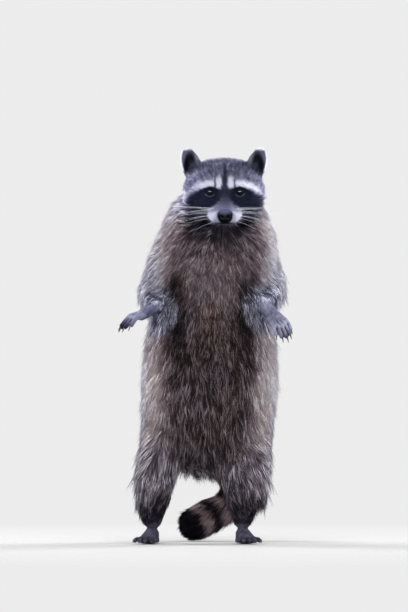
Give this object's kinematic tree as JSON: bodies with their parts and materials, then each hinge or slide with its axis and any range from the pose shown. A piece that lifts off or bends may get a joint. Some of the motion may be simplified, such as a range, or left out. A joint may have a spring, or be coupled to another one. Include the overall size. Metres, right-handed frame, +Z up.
{
  "type": "raccoon",
  "caption": "Life-size still model of an adult raccoon standing upright on its hind feet, forepaws held out low to its sides, tail laid on the floor behind.",
  "frame": {"origin": "on the floor under the middle of the animal's box", "axes": "+Z up, the animal faces -Y, and its own left side is +X"},
  "size_m": [0.3072, 0.3172, 0.6999],
  "materials": {
    "claw": "dark horn, satin",
    "eye": "wet, very dark brown",
    "nose_leather": "moist black leather",
    "ear_coat": "short fur, dark inside with a pale rim",
    "paw_coat": "very short grey fur with dark bare digits",
    "tail_coat": "dense fur in dark and tan rings",
    "leg_coat": "long grizzled fur over a dark undercoat",
    "arm_coat": "long pale grizzled fur",
    "head_coat": "short fur with a black mask, pale brows and muzzle",
    "neck_coat": "long pale ruff over a dark throat",
    "trunk_coat": "long grizzled grey-brown fur"
  },
  "bodies": {
    "root": {"ear_left": "ear_coat", "ear_right": "ear_coat", "eye_left": "eye", "eye_right": "eye", "foot_claw_left_1": "claw", "foot_claw_left_2": "claw", "foot_claw_left_3": "claw", "foot_claw_left_4": "claw", "foot_claw_left_5": "claw", "foot_claw_right_1": "claw", "foot_claw_right_2": "claw", "foot_claw_right_3": "claw", "foot_claw_right_4": "claw", "foot_claw_right_5": "claw", "foot_left": "paw_coat", "foot_right": "paw_coat", "forearm_left": "arm_coat", "forearm_right": "arm_coat", "hand_claw_left_1": "claw", "hand_claw_left_2": "claw", "hand_claw_left_3": "claw", "hand_claw_left_4": "claw", "hand_claw_left_5": "claw", "hand_claw_right_1": "claw", "hand_claw_right_2": "claw", "hand_claw_right_3": "claw", "hand_claw_right_4": "claw", "hand_claw_right_5": "claw", "hand_left": "paw_coat", "hand_right": "paw_coat", "head": "head_coat", "neck": "neck_coat", "nose": "nose_leather", "shank_left": "leg_coat", "shank_right": "leg_coat", "tail_base": "tail_coat", "tail_middle": "tail_coat", "tail_tip": "tail_coat", "thigh_left": "leg_coat", "thigh_right": "leg_coat", "trunk": "trunk_coat", "upper_arm_left": "arm_coat", "upper_arm_right": "arm_coat"}
  },
  "joints": []
}
